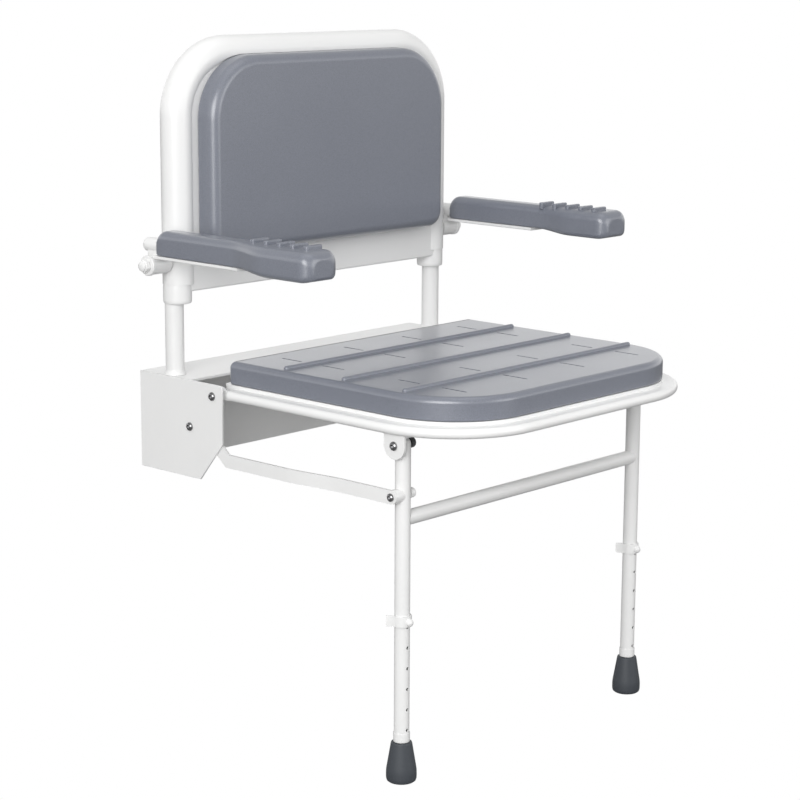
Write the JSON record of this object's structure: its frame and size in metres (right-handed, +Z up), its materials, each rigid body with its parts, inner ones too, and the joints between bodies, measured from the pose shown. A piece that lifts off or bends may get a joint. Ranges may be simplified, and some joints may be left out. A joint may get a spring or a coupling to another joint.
{
  "type": "wall-mounted folding shower seat",
  "caption": "Wall-mounted fold-up shower seat with padded seat and back, lifting padded armrests and height-adjustable front legs.",
  "frame": {"origin": "centre of the wall plate's rear face", "axes": "+Z up, +Y into the wall, seat faces -Y, +X is the sitter's left"},
  "size_m": [0.615, 0.546, 0.88],
  "materials": {
    "white_powder_coat": "satin white powder coat",
    "white_plastic": "smooth moulded white",
    "grey_pad": "soft skinned foam, fine leather-like grain",
    "grey_rubber": "matt moulded rubber",
    "chrome_steel": "bright plated",
    "bright_steel": "zinc plated",
    "black_plastic": "moulded"
  },
  "bodies": {
    "wall_frame": {"wall_back_plate": "white_powder_coat", "top_plate": "white_powder_coat", "stay_pivot_stud": "bright_steel", "back_shell": "white_plastic", "back_pad": "grey_pad", "side_plate_left": "white_powder_coat", "side_plate_right": "white_powder_coat", "post_left": "white_powder_coat", "post_right": "white_powder_coat", "seat_hinge_bolt_left": "chrome_steel", "seat_hinge_bolt_right": "chrome_steel", "seat_hinge_nut_left": "bright_steel", "seat_hinge_nut_right": "bright_steel", "seat_stop_bolt_left": "chrome_steel", "seat_stop_bolt_right": "chrome_steel", "seat_stop_sleeve_left": "black_plastic", "seat_stop_sleeve_right": "black_plastic", "seat_stop_nut_left": "bright_steel", "seat_stop_nut_right": "bright_steel", "arm_pivot_bolt_left": "chrome_steel", "arm_pivot_bolt_right": "chrome_steel"},
    "seat": {"seat_base": "white_plastic", "seat_pad": "grey_pad", "seat_hinge_bush_left": "black_plastic", "seat_hinge_bush_right": "black_plastic", "leg_bracket_left": "white_powder_coat", "leg_bracket_right": "white_powder_coat", "leg_hinge_bolt_left": "chrome_steel", "leg_hinge_bolt_right": "chrome_steel", "leg_hinge_nut_left": "black_plastic", "leg_hinge_nut_right": "black_plastic"},
    "legs": {"leg_crossbar": "white_powder_coat", "stay_boss": "white_powder_coat", "stay_front_bolt": "chrome_steel", "stay_front_cap": "white_plastic", "leg_tube_left": "white_powder_coat", "leg_tube_right": "white_powder_coat", "leg_end_bush_left": "white_plastic", "leg_end_bush_right": "white_plastic"},
    "stay": {"stay_bar": "white_powder_coat"},
    "foot_left": {"leg_inner_left": "bright_steel", "ferrule_left": "grey_rubber"},
    "foot_right": {"leg_inner_right": "bright_steel", "ferrule_right": "grey_rubber"},
    "clip_left": {"height_clip_left": "white_plastic"},
    "clip_right": {"height_clip_right": "white_plastic"},
    "arm_left": {"arm_barrel_left": "white_powder_coat", "arm_tube_left": "white_powder_coat", "arm_tray_left": "white_powder_coat", "arm_pad_left": "grey_pad"},
    "arm_right": {"arm_barrel_right": "white_powder_coat", "arm_tube_right": "white_powder_coat", "arm_tray_right": "white_powder_coat", "arm_pad_right": "grey_pad"}
  },
  "joints": [
    {"name": "seat_fold", "type": "hinge", "parent": "wall_frame", "child": "seat", "pos_m": [0, -0.1374, 0.0479], "axis": [-1, 0, 0], "range_deg": [0, 86]},
    {"name": "leg_fold", "type": "hinge", "parent": "seat", "child": "legs", "pos_m": [0, -0.433, 0.0286], "axis": [-1, 0, 0], "range_deg": [-86, 0]},
    {"name": "stay_swing", "type": "hinge", "parent": "legs", "child": "stay", "pos_m": [0, -0.433, -0.0325], "axis": [-1, 0, 0], "range_deg": [0, 86]},
    {"name": "arm_left_lift", "type": "hinge", "parent": "wall_frame", "child": "arm_left", "pos_m": [-0.272, -0.055, 0.208], "axis": [-1, 0, 0], "range_deg": [0, 90]},
    {"name": "arm_right_lift", "type": "hinge", "parent": "wall_frame", "child": "arm_right", "pos_m": [0.272, -0.055, 0.208], "axis": [-1, 0, 0], "range_deg": [0, 90]},
    {"name": "leg_height_left", "type": "slide", "parent": "legs", "child": "foot_left", "axis": [0, 0, -1], "range_m": [0, 0.1295]},
    {"name": "clip_pull_left", "type": "slide", "parent": "legs", "child": "clip_left", "axis": [0, -1, 0], "range_m": [0, 0.022]},
    {"name": "leg_height_right", "type": "slide", "parent": "legs", "child": "foot_right", "axis": [0, 0, -1], "range_m": [0, 0.1295]},
    {"name": "clip_pull_right", "type": "slide", "parent": "legs", "child": "clip_right", "axis": [0, -1, 0], "range_m": [0, 0.022]}
  ],
  "couplings": [
    {"joint": "leg_fold", "follows": "seat_fold", "ratio": -1},
    {"joint": "stay_swing", "follows": "seat_fold", "ratio": 1}
  ]
}
